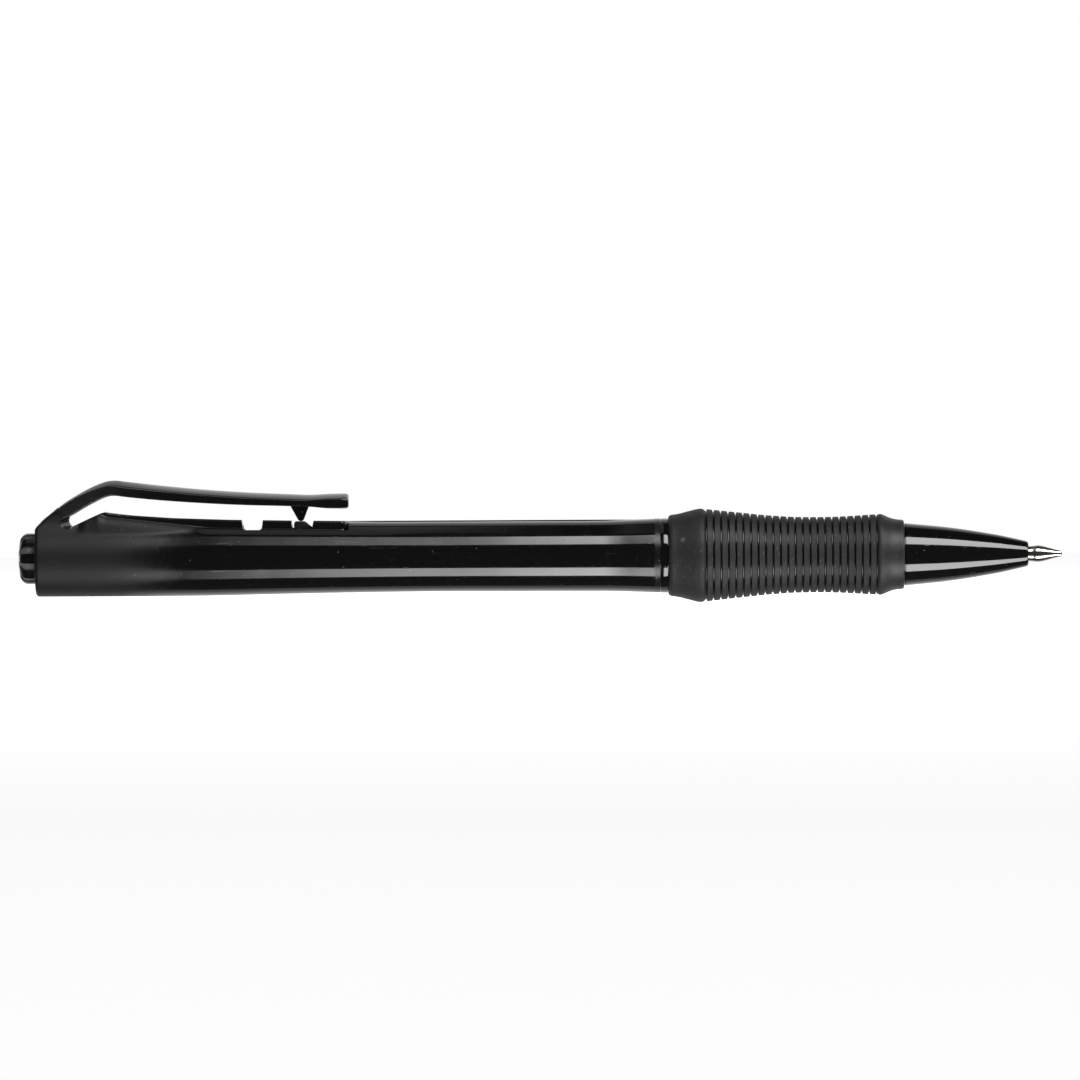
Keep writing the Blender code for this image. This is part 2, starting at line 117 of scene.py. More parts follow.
CHANNEL_WIDTH = 3.2
# Each window: its rear wall's and its front wall's top and bottom stations, its floor and its corner radius
WINDOWS = [(30.85, 31.25, 34.2, 33.9, 3.82, 0.45), (37.95, 38.05, 41.35, 40.9, 4.06, 0.3)]
WINDOW_TOP = 6.5

# Slot under the clip's root: its end as (centre, radius) at the pen's sides and in the middle
SLOT_SIDE = ((6.85, 4.95), 0.97)
SLOT_MIDDLE = ((7.9, 5.3), 0.87)
SLOT_ARC = (150, 330, 18)  # the end's first and last angles, and the steps between them
SLOT_FLOOR = [(9.9, 5.5), (12.1, 6.5), (12.6, 7.2), (12.6, 12.0), (4.95, 12.0), (5.03, 7.62)]

# Clip: matching points along its top and its underside
CLIP_LINE = [
    ((4.2, 5.8), (5.0, 4.6)),
    ((5.3, 6.86), (6.3, 5.45)),
    ((6.6, 7.86), (7.7, 6.2)),
    ((8.0, 8.72), (9.0, 6.98)),
    ((9.6, 9.6), (10.5, 7.79)),
    ((11.3, 10.36), (11.8, 8.4)),
    ((12.5, 10.73), (12.7, 8.66)),
    ((13.5, 10.8), (13.5, 8.68)),
    ((14.9, 10.64), (14.7, 8.52)),
    ((18.2, 10.26), (18.1, 8.16)),
    ((24.9, 9.58), (24.8, 7.64)),
    ((31.6, 9.09), (31.5, 7.29)),
    ((37.5, 8.82), (37.4, 7.12)),
    ((41.0, 8.71), (41.0, 6.97)),
    ((42.6, 8.8), (42.6, 6.81)),
    ((44.8, 8.86), (44.8, 6.75)),
]
CLIP_SEAM = 4  # the pair of points where the root's piece meets the arm's
CLIP_STEPS = 10  # sections from one pair of points to the next
CROWN_POINTS = 25
CORNER_POINTS = 6
CLIP_HALF_WIDTH = [(4.2, 2.9), (5.4, 3.17), (9.0, 3.05), (14.0, 3.0)]
CLIP_CROWN = [(4.2, 0.2), (8.0, 0.35), (12.0, 0.7), (14.0, 0.8)]
CROWN_FULLNESS = 1.6
CLIP_EDGE = 0.2
CLIP_ROUNDING = [(0.6, 0.0), (0.8, 0.03), (0.93, 0.09), (1.02, 0.17), (1.08, 0.27), (1.1, 0.4)]
FOOT = [(37.75, 7.6), (37.85, 7.05), (38.85, 5.22), (39.05, 5.05), (39.45, 5.05), (39.65, 5.22),
        (40.35, 7.05), (40.45, 7.6)]
FOOT_WIDTH = 2.4

# Plunger, latch and refill
PLUNGER_OUTLINE = [(3.5, 2.0), (10.9, 2.0), (10.9, 3.9), (11.0, 4.0), (12.8, 4.0), (12.9, 3.9), (12.9, 2.6),
                   (43.0, 2.6), (43.0, 3.0), (50.0, 3.0), (50.0, 3.9), (50.1, 4.0), (51.9, 4.0), (52.0, 3.9),
                   (52.0, 1.65), (46.6, 1.65), (46.6, 0.0)]
TROUGH = [(27.5, 1.5), (42.5, 1.5), (42.5, 4.0), (27.5, 4.0)]
TROUGH_WIDTH = 6.0
LATCH_POST = [(21.5, 1.0), (25.6, 1.0), (25.6, 3.7), (21.5, 3.7)]
LATCH_FINGER = [(25.7, 3.0), (25.8, 2.95), (41.1, 2.95), (41.2, 3.05), (41.2, 3.6), (41.1, 3.7), (25.8, 3.7),
                (25.7, 3.65)]
LATCH_WIDTH = 3.0
TOOTH = [(38.3, 3.4), (40.95, 3.4), (40.95, 4.1), (39.9, 4.95), (39.7, 5.03), (38.6, 5.03), (38.45, 4.97),
         (38.3, 4.7)]
TOOTH_WIDTH = 2.4
LATCH_CUTS = (0.6, 3.2, 0.3)  # where the blade is cut across: from, to and step, from its root
REFILL_TUBE = [(46.9, 1.55), (113.9, 1.55), (114.0, 1.5), (114.0, 1.1), (46.9, 1.1)]
INK = [(55.9, 0.0), (55.95, 0.6), (56.3, 1.0), (108.6, 1.0), (108.6, 0.0)]
TIP_HOLDER = [(109.0, 0.95), (109.0, 1.0), (114.3, 1.0), (114.3, 1.45), (114.35, 1.5), (116.2, 1.5),
              (116.2, 2.25), (116.25, 2.3), (117.15, 2.3), (117.2, 2.25), (117.2, 1.5), (130.0, 1.5),
              (130.5, 1.3), (130.5, 0.85), (124.2, 0.85), (124.2, 0.4), (109.0, 0.4)]
NIB_OUTLINE = [(130.7, 1.05), (140.5, 1.05), (140.9, 1.08), (141.5, 1.16), (141.9, 1.14), (142.4, 1.05),
               (143.4, 0.77), (144.2, 0.54), (144.55, 0.46), (144.8, 0.42)]
NIB_INSIDE = [(144.81, 0.38), (144.25, 0.38), (144.25, 0.25), (124.5, 0.25), (124.5, 0.75), (130.7, 0.75)]
SPRING_SPAN = (117.45, 130.75)
SPRING_RADIUS = 2.1
SPRING_WIRE = 0.2
SPRING_TURNS = 12
SPRING_STEPS = 32
SPRING_CLOSED = 1.5  # turns that lie together at each end
CLOSED_PITCH = 2.1 * SPRING_WIRE
WIRE_SIDES = 12

# Front section and grip
TENON_RADIUS = 3.98
TENON_REAR = [(81.2, 2.5), (81.2, 3.5), (81.6, 3.9)]
THREAD_SPAN = (81.7, 88.9)
THREAD_DEPTH = 0.28
THREAD_PITCH = 1.25
THREAD_STEPS = 12  # rings in one pitch
THREAD_SLOPE = 2.2
THREAD_CREST = 0.6
COLLAR_AND_CORE = [(89.0, 3.98), (89.2, 3.98), (89.2, 5.08), (89.23, 5.14), (89.3, 5.165), (90.1, 5.18),
                   (90.17, 5.15), (90.2, 5.08), (90.2, 4.15), (123.1, 4.15), (123.1, 4.25)]
NOSE_OUTLINE = [(123.2, 4.34), (126.0, 4.08), (129.0, 3.77), (131.5, 3.43), (134.0, 3.02), (136.7, 2.53),
                (138.3, 2.17), (140.0, 1.78)]
NOSE_MOUTH = [(140.2, 1.68), (140.3, 1.5), (140.25, 1.3), (140.0, 1.25), (137.0, 1.25), (131.0, 1.75),
              (131.0, 2.5)]
GRIP_SHOULDER = [(90.25, 5.25), (90.4, 5.5), (90.85, 5.68), (91.1, 5.7), (93.0, 6.13), (94.3, 6.44),
                 (94.8, 6.49), (95.1, 6.44), (95.3, 6.3)]
GRIP_FRONT = [(119.25, 5.45), (119.5, 5.6), (119.8, 5.62), (120.3, 5.45), (120.9, 5.18), (121.5, 4.98),
              (122.2, 4.85), (122.85, 4.77), (122.98, 4.68), (123.0, 4.6)]
GRIP_BORE = [(123.0, 4.25), (90.25, 4.25)]
# where the grip's gate mark sits and its size; the rubber's colour shows it as a painted highlight
GATE_MARK = ((92.2, -5.6, 2.25), 0.42)
GRIP_CREST = [(95.0, 6.48), (97.1, 6.26), (99.3, 6.02), (101.4, 5.8), (103.5, 5.57), (105.5, 5.42),
              (107.5, 5.29), (110.0, 5.24), (111.8, 5.24), (113.6, 5.28), (115.7, 5.38), (117.6, 5.5),
              (119.4, 5.6)]
RIB_FIRST = 96.0
RIB_PITCH = 1.03
RIB_COUNT = 23
RIB_STEPS = 24
RIB_DEPTH = 0.3
RIB_CREST = 0.68  # the flat share of a rib
RIB_FLOOR = 0.93  # where the groove between two ribs reaches its floor
RIB_SPAN = (RIB_FIRST - RIB_PITCH / 2, RIB_FIRST + (RIB_COUNT - 0.5) * RIB_PITCH)

# Finishes. Dust and lint are (scale, dot size, rarity), and a grain is its stretch along each axis
DUST = (1.4, 0.05, 0.55)
BUTTON_DUST = (1.6, 0.05, 0.55)
LARGE_LINT = (2.1, 0.07, 0.5)
SMALL_LINT = (3.7, 0.09, 0.52)
SCRATCHES = [(0.06, 2.2, 2.2), (1.8, 0.12, 0.2), (0.5, 0.6, 1.6)]
FIBRES = [(0.5, 1.4, 0.25), (1.6, 0.3, 0.3)]
DUST_HEIGHT = 0.6
SCRATCH_DEPTH = 0.12
SCRATCH_ROUGHNESS = 0.18
SCRATCH_SHADE = 0.05
BAND_ROUGHNESS = 0.2
SATIN_SPECULAR = 0.32
RAGGED_EDGE = 6.0  # how far, in mm, the satin's edge wanders
# the button's own rib black, also used as painted shade at the grip's groove floors
BLACK_AND_GROOVE_SHADE = (0.0015, 0.0015, 0.0015)
PLASTIC_COLOUR = (0.0012, 0.0012, 0.001236)
DUST_COLOUR = (0.16, 0.16, 0.155)
GROOVE_COLOUR = (0.09, 0.09, 0.09)
MOULDING_COLOURS = ((0.004, 0.004, 0.004), (0.012, 0.012, 0.012))
TUBE_COLOURS = ((0.72, 0.74, 0.75), (0.86, 0.87, 0.87))
INK_COLOURS = ((0.002, 0.002, 0.004), (0.007, 0.007, 0.012))
STEEL_COLOUR = (0.42, 0.405, 0.38)
WIRE_COLOUR = (0.55, 0.55, 0.55)
BRASS_COLOUR = (0.78, 0.6, 0.3)
RUBBER_COLOUR = (0.006, 0.0062, 0.0066)
LINT_COLOUR = (0.12, 0.12, 0.115)
TARNISH = 0.82  # a metal's darkest patches, as a share of its colour

# Camera and lights: a long lens far off, and a long soft light above and one below the pen
CAMERA_DISTANCE = 1300.0
FRAME_WIDTH = 150.12
SENSOR = 36.0
CAMERA_STATION = 72.45
CAMERA_HEIGHT = 2.24
CAMERA_ROLL = 0.00506
STRIP_DISTANCE = 600.0
STRIP_ANGLES = (38.6, 67.7)
STRIP_FRONT = 720.0
UPPER_LIGHT = [(-60.0, 0.3), (-38.0, 0.8), (-30.0, 1.5), (-20.0, 2.3), (-14.0, 3.5), (-8.0, 6.1),
               (3.0, 8.6), (85.0, 11.5)]
LOWER_LIGHT = [(-68.0, 0.8), (-44.0, 1.7), (-35.0, 2.6), (-30.0, 3.8), (-23.5, 6.2), (-14.0, 7.2),
               (-2.0, 10.3), (6.0, 11.5)]
FILL_ANGLES = (76.0, 116.0)
FILL_LIGHT = [(-300.0, 0.45), (-30.0, 0.45), (0.0, 0.05)]
AMBIENT = 0.07
FLOOR_GLOW = 0.8
FLOOR_COLOUR = (0.85, 0.85, 0.85, 1)
FLOOR_REACH = 4.0  # metres
# The light behind the pen, in two steps: the directions each fades in over, and how bright it gets
NEAR_GLOW = (0.46, 0.5, 0.55)
FAR_GLOW = (0.6, 0.85, 0.45)
GLOW_TILT = -0.07


# Shapes


def place(station, across=0.0, height=0.0):
    """A point of the frame, in metres."""
    return (REAR + station * MM, across * MM, AXIS + height * MM)


def circle(sides):
    return np.arange(sides) * 2 * math.pi / sides


def smooth_line(points, steps):
    """A smooth line through the points, with this many steps between neighbours."""
    p = np.array(points, float)
    gaps = np.linalg.norm(np.diff(p, axis=0), axis=1)[:, None]
    slopes = np.diff(p, axis=0) / gaps
    inner = (slopes[:-1] * gaps[1:] + slopes[1:] * gaps[:-1]) / (gaps[:-1] + gaps[1:])
    tangents = np.vstack([slopes[:1], inner, slopes[-1:]])
    t = (np.arange(steps) / steps)[:, None]
    line = []
    for a, b, a_way, b_way, gap in zip(p[:-1], p[1:], tangents[:-1], tangents[1:], gaps):
        bent = t * (1 - t) ** 2 * gap * a_way - t**2 * (1 - t) * gap * b_way
        line.append(a + (b - a) * t**2 * (3 - 2 * t) + bent)
    return np.vstack(line + [p[-1:]])


def smooth_step(t):
    t = np.clip(t, 0, 1)
    return t * t * (3 - 2 * t)


def smooth_max(first, second, size):
    """The larger of two values, rounded off where they are closer than size."""
    overlap = np.maximum(size - abs(first - second), 0)
    return np.maximum(first, second) + overlap**2 / (4 * size)


def along(line, stations):
    line = np.array(line)
    return np.interp(stations, line[:, 0], line[:, 1])


def arc(centre, radius, start_deg, end_deg, steps=8):
    turns = np.radians(np.linspace(start_deg, end_deg, steps + 1))
    return [(centre[0] + radius * math.cos(a), centre[1] + radius * math.sin(a)) for a in turns]


def ring(stations, radii, angles):
    """Points round the axis. Angle 0 is straight up, towards the clip."""
    x = np.full(len(angles), REAR) + np.asarray(stations) * MM
    return np.stack([x, radii * np.sin(angles) * MM, AXIS + radii * np.cos(angles) * MM], axis=1)


def skin(name, rings, looped=False, capped=True):
    """A mesh over rings of points. Looped rings join the last to the first, as round a bored tube."""
    count = len(rings[0])
    faces = []
    for i in range(len(rings) if looped else len(rings) - 1):
        here, there = i * count, (i + 1) % len(rings) * count
        following = [(j + 1) % count for j in range(count)]
        faces += [(here + j, here + k, there + k, there + j) for j, k in enumerate(following)]
    if capped and not looped:
        faces += [tuple(range(count)), tuple(range((len(rings) - 1) * count, len(rings) * count))]
    mesh = bpy.data.meshes.new(name)
    mesh.from_pydata(np.concatenate(rings).tolist(), [], faces)
    form = bmesh.new()
    form.from_mesh(mesh)
    bmesh.ops.remove_doubles(form, verts=form.verts, dist=1e-7)
    bmesh.ops.recalc_face_normals(form, faces=form.faces)
    form.to_mesh(mesh)
    form.free()
    obj = bpy.data.objects.new(name, mesh)
    bpy.context.scene.collection.objects.link(obj)
    return soften(obj)


def soften(obj):
    obj.data.polygons.foreach_set("use_smooth", [True] * len(obj.data.polygons))
    obj.data.set_sharp_from_angle(angle=SHARP_ANGLE)
    return obj


def turned(name, outline, sides=FINE_SIDES, looped=True):
    """A turned piece from (station, radius) pairs: looped if bored, or open lines that end on the axis."""
    rings = [ring(station, radius, circle(sides)) for station, radius in outline]
    return skin(name, rings, looped, capped=False)


def plate(name, outline, width):
    """A side outline of (station, height) pairs, drawn out across the pen."""
    return skin(name, [[place(s, y, h) for s, h in outline] for y in (-width / 2, width / 2)])


def applied(obj):
    """Turns the piece's modifiers into its mesh."""
    bpy.context.view_layer.update()
    graph = bpy.context.evaluated_depsgraph_get()
    mesh = bpy.data.meshes.new_from_object(obj.evaluated_get(graph))
    obj.modifiers.clear()
    obj.data = mesh
    return soften(obj)


def carve(obj, cutters):
    """Takes the cutters out of a closed piece, and removes them."""
    for cutter in cutters:
        modifier = obj.modifiers.new(cutter.name, "BOOLEAN")
        modifier.object = cutter
        modifier.solver = "EXACT"
    applied(obj)
    for cutter in cutters:
        bpy.data.objects.remove(cutter, do_unlink=True)
    return obj


def bevelled(obj, size, segments=3):
    modifier = obj.modifiers.new("edges", "BEVEL")
    modifier.width = size * MM
    modifier.segments = segments
    modifier.limit_method = "ANGLE"
    modifier.angle_limit = BEVEL_ANGLE
    return applied(obj)


def dress(obj, material, slot, *nodes):
    """Gives a piece its material and hides the CAD nodes that it stands for. slot is not used."""
    obj.data.materials.clear()
    obj.data.materials.append(material)
    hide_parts(*nodes)
    return obj


# Materials


def add(tree, kind, inputs=None, **settings):
    """A node with its settings, and its inputs given as values or as sockets to link."""
    made = tree.nodes.new(kind)
    for key, value in settings.items():
        setattr(made, key, value)
    for key, value in (inputs or {}).items():
        if isinstance(value, bpy.types.NodeSocket):
            tree.links.new(value, made.inputs[key])
        else:
            made.inputs[key].default_value = value
    return made


def maths(tree, operation, first, second, third=0.0):
    return add(tree, "ShaderNodeMath", {0: first, 1: second, 2: third}, operation=operation).outputs[0]


def mix_colour(tree, factor, first, second):
    inputs = {0: factor, 6: (*first, 1), 7: (*second, 1)}
    return add(tree, "ShaderNodeMix", inputs, data_type="RGBA").outputs[2]


def mix_value(tree, factor, first, second):
    return add(tree, "ShaderNodeMix", {0: factor, 2: first, 3: second}).outputs[0]


def remap(tree, value, low, high, to_low=0.0, to_high=1.0):
    inputs = {"Value": value, "From Min": low, "From Max": high, "To Min": to_low, "To Max": to_high}
    return add(tree, "ShaderNodeMapRange", inputs, interpolation_type="SMOOTHSTEP").outputs[0]


def new_material(name, **uniform):
    material = bpy.data.materials.new(name)
    material.use_nodes = True
    tree = material.node_tree
    shader = tree.nodes["Principled BSDF"]
    for key, value in uniform.items():
        shader.inputs[key.replace("_", " ")].default_value = value
    return material, tree, shader


def millimetres(tree, stretch=(1, 1, 1)):
    """The piece's own coordinates in millimetres, stretched for a grain."""
    own = add(tree, "ShaderNodeTexCoord").outputs["Object"]
    return add(tree, "ShaderNodeMapping", {"Vector": own, "Scale": [s / MM for s in stretch]}).outputs[0]


def noise(tree, vector, scale, detail=2.0, roughness=0.5):
    inputs = {"Vector": vector, "Scale": scale, "Detail": detail, "Roughness": roughness}
    return add(tree, "ShaderNodeTexNoise", inputs).outputs["Fac"]


def specks(tree, vector, scale, size, rarity):
    """Dust: small dots, kept only in patches."""
    dots = add(tree, "ShaderNodeTexVoronoi", {"Vector": vector, "Scale": scale}).outputs["Distance"]
    patches = remap(tree, noise(tree, vector, scale * 0.4, 3.0), rarity, rarity + 0.06)
    return maths(tree, "MULTIPLY", remap(tree, dots, size, size * 1.7, 1.0, 0.0), patches)


def hairlines(tree, directions, rarity=0.66):
    """Fine scratches, as stretched noise in each direction."""
    lines = 0.0
    for stretch in directions:
        grain = noise(tree, millimetres(tree, stretch), 2.0, 5.0, 0.65)
        lines = maths(tree, "MAXIMUM", lines, remap(tree, grain, rarity, rarity + 0.05))
    return lines


def bump(tree, shader, height, distance, strength=1.0):
    inputs = {"Height": height, "Distance": distance * MM, "Strength": strength}
    tree.links.new(add(tree, "ShaderNodeBump", inputs).outputs[0], shader.inputs["Normal"])


def black_plastic(name, gloss=0.06, satin=None, satin_span=None, scratches=0.5):
    """Moulded black plastic: glossy, scratched and dusty. satin_span is where a satin end turns glossy."""
    material, tree, shader = new_material(name, IOR=1.49)
    vector = millimetres(tree)
    dust = specks(tree, vector, *DUST)
    scratch = hairlines(tree, SCRATCHES)
    cloud = noise(tree, vector, 0.3, 4.0)
    rough = remap(tree, cloud, 0.3, 0.7, gloss, gloss + 0.035)
    if satin:
        station = add(tree, "ShaderNodeSeparateXYZ", {0: vector}).outputs["X"]
        edge = noise(tree, vector, 0.7, 6.0, 0.7)
        ragged = maths(tree, "MULTIPLY_ADD", edge, RAGGED_EDGE, -RAGGED_EDGE / 2)
        start, end = (REAR / MM + s for s in satin_span)
        worn = remap(tree, maths(tree, "ADD", station, ragged), start, end, 1.0, 0.0)
        polish = add(tree, "ShaderNodeAttribute", attribute_name="polish").outputs["Fac"]
        worn = maths(tree, "SUBTRACT", worn, polish)
        rough = mix_value(tree, worn, rough, satin)
        tree.links.new(mix_value(tree, worn, 0.5, SATIN_SPECULAR), shader.inputs["Specular IOR Level"])
        matt_band = add(tree, "ShaderNodeAttribute", attribute_name="matt_band").outputs["Fac"]
        rough = maths(tree, "MULTIPLY_ADD", matt_band, BAND_ROUGHNESS, rough)
    rough = maths(tree, "MULTIPLY_ADD", scratch, SCRATCH_ROUGHNESS, rough)
    tree.links.new(rough, shader.inputs["Roughness"])
    marks = maths(tree, "MAXIMUM", dust, maths(tree, "MULTIPLY", scratch, SCRATCH_SHADE * scratches))
    colour = mix_colour(tree, marks, PLASTIC_COLOUR, DUST_COLOUR)
    tree.links.new(colour, shader.inputs["Base Color"])
    surface = maths(tree, "MULTIPLY_ADD", dust, DUST_HEIGHT, noise(tree, vector, 0.16, 1.0))
    surface = maths(tree, "MULTIPLY_ADD", scratch, -SCRATCH_DEPTH, surface)
    bump(tree, shader, surface, 0.02, 0.6)
    return material


def button_plastic():
    """The button: glossy ribs, with rougher and paler grooves."""
    material, tree, shader = new_material("button_plastic", IOR=1.49)
    vector = millimetres(tree)
    groove = add(tree, "ShaderNodeAttribute", attribute_name="groove").outputs["Fac"]
    grain = noise(tree, vector, 6.0, 4.0)
    tree.links.new(mix_value(tree, groove, 0.14, 0.5), shader.inputs["Roughness"])
    dust = specks(tree, vector, *BUTTON_DUST)
    worn = maths(tree, "MAXIMUM", maths(tree, "MULTIPLY", groove, 0.75), dust)
    colour = mix_colour(tree, worn, BLACK_AND_GROOVE_SHADE, GROOVE_COLOUR)
    tree.links.new(colour, shader.inputs["Base Color"])
    bump(tree, shader, grain, 0.01, 0.5)
    return material


def inner_plastic():
    """The natural moulded finish of the plunger and the latch."""
    material, tree, shader = new_material("inner_plastic", IOR=1.5)
    vector = millimetres(tree)
    cloud = noise(tree, vector, 1.2, 4.0)
    tree.links.new(mix_colour(tree, cloud, *MOULDING_COLOURS), shader.inputs["Base Color"])
    tree.links.new(remap(tree, cloud, 0.3, 0.7, 0.3, 0.45), shader.inputs["Roughness"])
    bump(tree, shader, noise(tree, vector, 8.0, 3.0), 0.01, 0.4)
    return material


def grip_rubber():
    """Soft rubber: matt crests with lint on them, and shinier grooves whose floors are darkened with painted
    shade.
    """
    material, tree, shader = new_material("grip_rubber", IOR=1.5, Specular_IOR_Level=0.3)
    vector = millimetres(tree)
    groove = add(tree, "ShaderNodeAttribute", attribute_name="groove").outputs["Fac"]
    smooth_end = add(tree, "ShaderNodeAttribute", attribute_name="smooth_end").outputs["Fac"]
    cloud = noise(tree, vector, 0.5, 5.0)
    matt = mix_value(tree, smooth_end, remap(tree, cloud, 0.3, 0.7, 0.55, 0.65), 0.46)
    tree.links.new(mix_value(tree, groove, matt, 0.16), shader.inputs["Roughness"])
    lint = maths(tree, "MAXIMUM", specks(tree, vector, *LARGE_LINT), specks(tree, vector, *SMALL_LINT))
    fibre = hairlines(tree, FIBRES, rarity=0.7)
    marks = maths(tree, "MAXIMUM", lint, maths(tree, "MULTIPLY", fibre, 0.35))
    # painted highlight: the gate mark is a paler disc in the colour, standing in for the light that its
    # raised pip catches
    centre, size = GATE_MARK
    inputs = {0: vector, 1: [c / MM for c in place(*centre)]}
    away = add(tree, "ShaderNodeVectorMath", inputs, operation="DISTANCE").outputs["Value"]
    gate_highlight = remap(tree, away, size * 0.7, size, 1.0, 0.0)
    marks = maths(tree, "MAXIMUM", marks, maths(tree, "MULTIPLY", gate_highlight, 0.25))
    colour = mix_colour(tree, marks, RUBBER_COLOUR, LINT_COLOUR)
    # painted shade: the colour turns near-black towards each groove's floor
    groove_shade = maths(tree, "POWER", groove, 6.0)
    inputs = {0: groove_shade, 6: colour, 7: (*BLACK_AND_GROOVE_SHADE, 1)}
    groove_shaded_colour = add(tree, "ShaderNodeMix", inputs, data_type="RGBA").outputs[2]
    tree.links.new(groove_shaded_colour, shader.inputs["Base Color"])
    grain = maths(tree, "MULTIPLY_ADD", lint, 0.8, noise(tree, vector, 7.0, 4.0, 0.6))
    bump(tree, shader, grain, 0.015, 0.7)
    return material


def metal(name, colour, roughness, turning):
    """Turned metal: fine rings along the pen and a slightly uneven polish."""
    material, tree, shader = new_material(name, Metallic=1.0)
    lines = noise(tree, millimetres(tree, (1.0, 0.02, 0.02)), turning, 3.0, 0.6)
    cloud = noise(tree, millimetres(tree), 1.5, 3.0)
    shade = [c * TARNISH for c in colour]
    tree.links.new(mix_colour(tree, cloud, shade, colour), shader.inputs["Base Color"])
    tree.links.new(remap(tree, lines, 0.3, 0.7, roughness, roughness * 1.5), shader.inputs["Roughness"])
    bump(tree, shader, lines, 0.0005, 0.3)
    return material


def milky_tube():
    material, tree, shader = new_material("milky_tube", IOR=1.49, Transmission_Weight=0.99)
    vector = millimetres(tree, (0.2, 1, 1))
    streak = noise(tree, vector, 1.5, 4.0)
    tree.links.new(mix_colour(tree, streak, *TUBE_COLOURS), shader.inputs["Base Color"])
    tree.links.new(remap(tree, streak, 0.3, 0.7, 0.08, 0.14), shader.inputs["Roughness"])
    return material


def ink_paste():
    material, tree, shader = new_material("ink_paste", IOR=1.45)
    vector = millimetres(tree, (0.3, 1, 1))
    flow = noise(tree, vector, 1.2, 3.0)
    tree.links.new(mix_colour(tree, flow, *INK_COLOURS), shader.inputs["Base Color"])
    tree.links.new(remap(tree, flow, 0.3, 0.7, 0.12, 0.3), shader.inputs["Roughness"])
    return material


# Pieces


def paint(obj, name, values):
    """Stores one number per point, for the piece's material to read."""
    attribute = obj.data.attributes.new(name, "FLOAT", "POINT")
    attribute.data.foreach_set("value", np.asarray(values, np.float32))


def point_table(obj):
    """Each point of a mesh as (station, across, height)."""
    flat = np.empty(len(obj.data.vertices) * 3, np.float32)
    obj.data.vertices.foreach_get("co", flat)
    return (flat.reshape(-1, 3) - (REAR, 0, AXIS)) / MM


def groove_share(angles):
    """0 on the button's ribs and 1 in its grooves. A rib stands at each side of the pen."""
    pitch = 360 / BUTTON_RIBS
    off_rib = abs((np.degrees(angles) - 270 + pitch / 2) % pitch - pitch / 2)
    return smooth_step((off_rib - pitch / 2 + GROOVE_HALF_ANGLE + GROOVE_BLEND) / (2 * GROOVE_BLEND))


def make_button(material):
    """A domed cap whose grooves run on over its shoulder."""
    angles = circle(360)
    share = groove_share(angles)
    rings = [ring(station, radius, angles) for station, radius in BUTTON_FACE]
    for turn in np.radians(np.arange(90, -1, -6)):
        depth = GROOVE_DEPTH * share * smooth_step((90 - math.degrees(turn) + 12) / 30)
        stations = BUTTON_SHOULDER - (BUTTON_CORNER - depth) * math.sin(turn)
        radii = BUTTON_RADIUS - BUTTON_CORNER + (BUTTON_CORNER - depth) * math.cos(turn)
        rings.append(ring(stations, radii, angles))
    for station in (2.5, 6.0, BUTTON_END - 0.1):
        rings.append(ring(station, BUTTON_RADIUS - GROOVE_DEPTH * share, angles))
    socket_start, socket_radius = BUTTON_SOCKET
    rings += [ring(BUTTON_END, BUTTON_RADIUS - 0.1 - GROOVE_DEPTH * share, angles)]
    rings += [ring(s, r, angles) for s, r in ((BUTTON_END, socket_radius), (socket_start, socket_radius))]
    rings.append(ring(socket_start, 0, angles))
    button = skin("button_cap", rings, capped=False)
    points = point_table(button)
    around = np.arctan2(points[:, 1], points[:, 2])
    paint(button, "groove", groove_share(around) * (np.hypot(points[:, 1], points[:, 2]) > 1.9))
    dress(button, material, "black_button", "push_button")
    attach(button, "plunger")


def rail_radii(station, angles):
    """The rail and the fin in end view: a rounded rectangle about the axis."""
    nose_start, nose_end = RAIL_NOSE
    taper = np.clip((station - nose_start) / (nose_end - nose_start), 0, 0.999)
    half_width = RAIL_HALF_WIDTH * (1 - taper**3)
    sharpness = along(RAIL_SHARPNESS, station)
    up = np.maximum(np.cos(angles), 0) / along(RAIL_TOP, station)
    out = np.where(np.cos(angles) > 0, abs(np.sin(angles)) / half_width, 10.0)
    return (up**sharpness + out**sharpness) ** (-1 / sharpness)


def shoulder_radii(base, station, angles):
    """The barrel's own surface in end view, which swells up to the foot of the rail's wall."""
    foot, top = along(WALL_FOOT, station), along(RAIL_TOP, station)
    edge = math.atan2(RAIL_HALF_WIDTH, foot)
    swell = max(math.hypot(RAIL_HALF_WIDTH, foot) - base, 0) * smooth_step((station - FIN_END) / 1.5)
    away = np.minimum(angles, 2 * math.pi - angles)
    share = smooth_step((SHOULDER_ANGLE - away) / (SHOULDER_ANGLE - edge))
    ceiling = np.where(away < 1.2, top / np.maximum(np.cos(away), 0.2), np.inf)
    return np.maximum(np.minimum(base + swell * share, ceiling), base)


def slot_cutter():
    """The slot between the clip's root and the rail. Its end narrows from each side towards the middle."""
    rings = []
    for across in np.linspace(-5, 5, 21):
        share = min(abs(across) / RAIL_HALF_WIDTH, 1)
        centre = np.array(SLOT_MIDDLE[0]) * (1 - share) + np.array(SLOT_SIDE[0]) * share
        radius = SLOT_MIDDLE[1] * (1 - share) + SLOT_SIDE[1] * share
        outline = arc(centre, radius, *SLOT_ARC) + SLOT_FLOOR
        rings.append([place(s, across, h) for s, h in outline])
    return skin("slot", rings)


def window_cutter(number, rear_top, rear_bottom, front_top, front_bottom, floor, radius):
    rear = arc((rear_bottom + radius, floor + radius), radius, 180, 270)
    front = arc((front_bottom - radius, floor + radius), radius, 270, 360)
    outline = rear + front + [(front_top, WINDOW_TOP), (rear_top, WINDOW_TOP)]
    return plate(f"window_{number}", outline, 2 * RAIL_HALF_WIDTH + 2)


